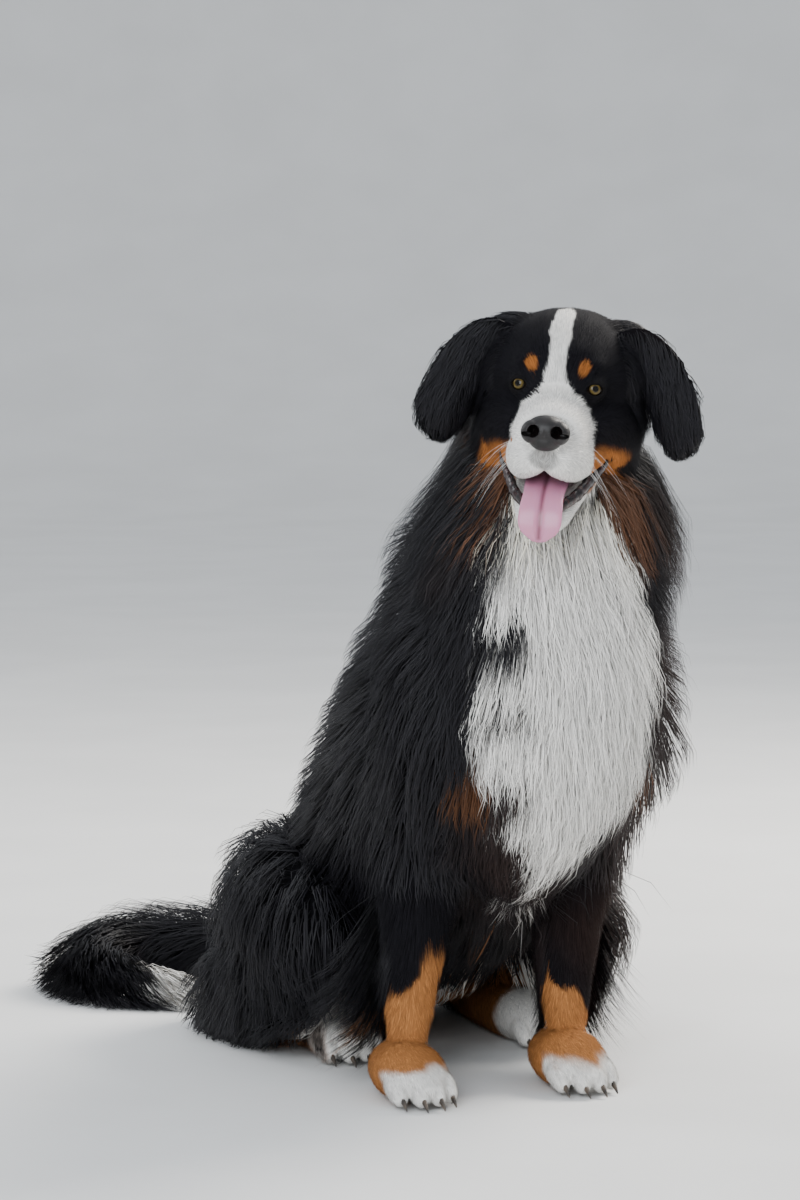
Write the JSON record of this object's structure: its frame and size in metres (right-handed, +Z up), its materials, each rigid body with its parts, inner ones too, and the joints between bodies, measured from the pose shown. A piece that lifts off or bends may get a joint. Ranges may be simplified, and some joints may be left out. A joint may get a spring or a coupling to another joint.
{
  "type": "sitting bernese mountain dog model",
  "caption": "Life-size still model of a long-coated tricolour mountain dog, sitting, head turned, mouth open with tongue showing.",
  "frame": {"origin": "on the floor, at the middle of the figure's box", "axes": "+Z up, +Y from the forefeet to the tail, +X to the dog's left"},
  "size_m": [0.5849, 1.1725, 0.906],
  "materials": {
    "black_coat": "long black fur with a soft sheen",
    "white_coat": "white fur",
    "rust_coat": "rust fur",
    "nose_leather": "moist black leather",
    "tongue": "moist pink",
    "eye": "polished brown eye"
  },
  "bodies": {
    "root": {"torso": "black_coat", "neck": "black_coat", "head": "black_coat", "ear_left": "black_coat", "ear_right": "black_coat", "tail_base": "black_coat", "tail_middle": "black_coat", "tail_bend": "black_coat", "tail_tip": "black_coat", "hindleg_left": "black_coat", "hindleg_right": "black_coat", "foreleg_left": "rust_coat", "foreleg_right": "rust_coat", "hind_foot_left": "white_coat", "hind_foot_right": "white_coat", "forepaw_left": "white_coat", "forepaw_right": "white_coat", "lower_jaw": "white_coat", "nose": "nose_leather", "tongue": "tongue", "eye_left": "eye", "eye_right": "eye"}
  },
  "joints": []
}
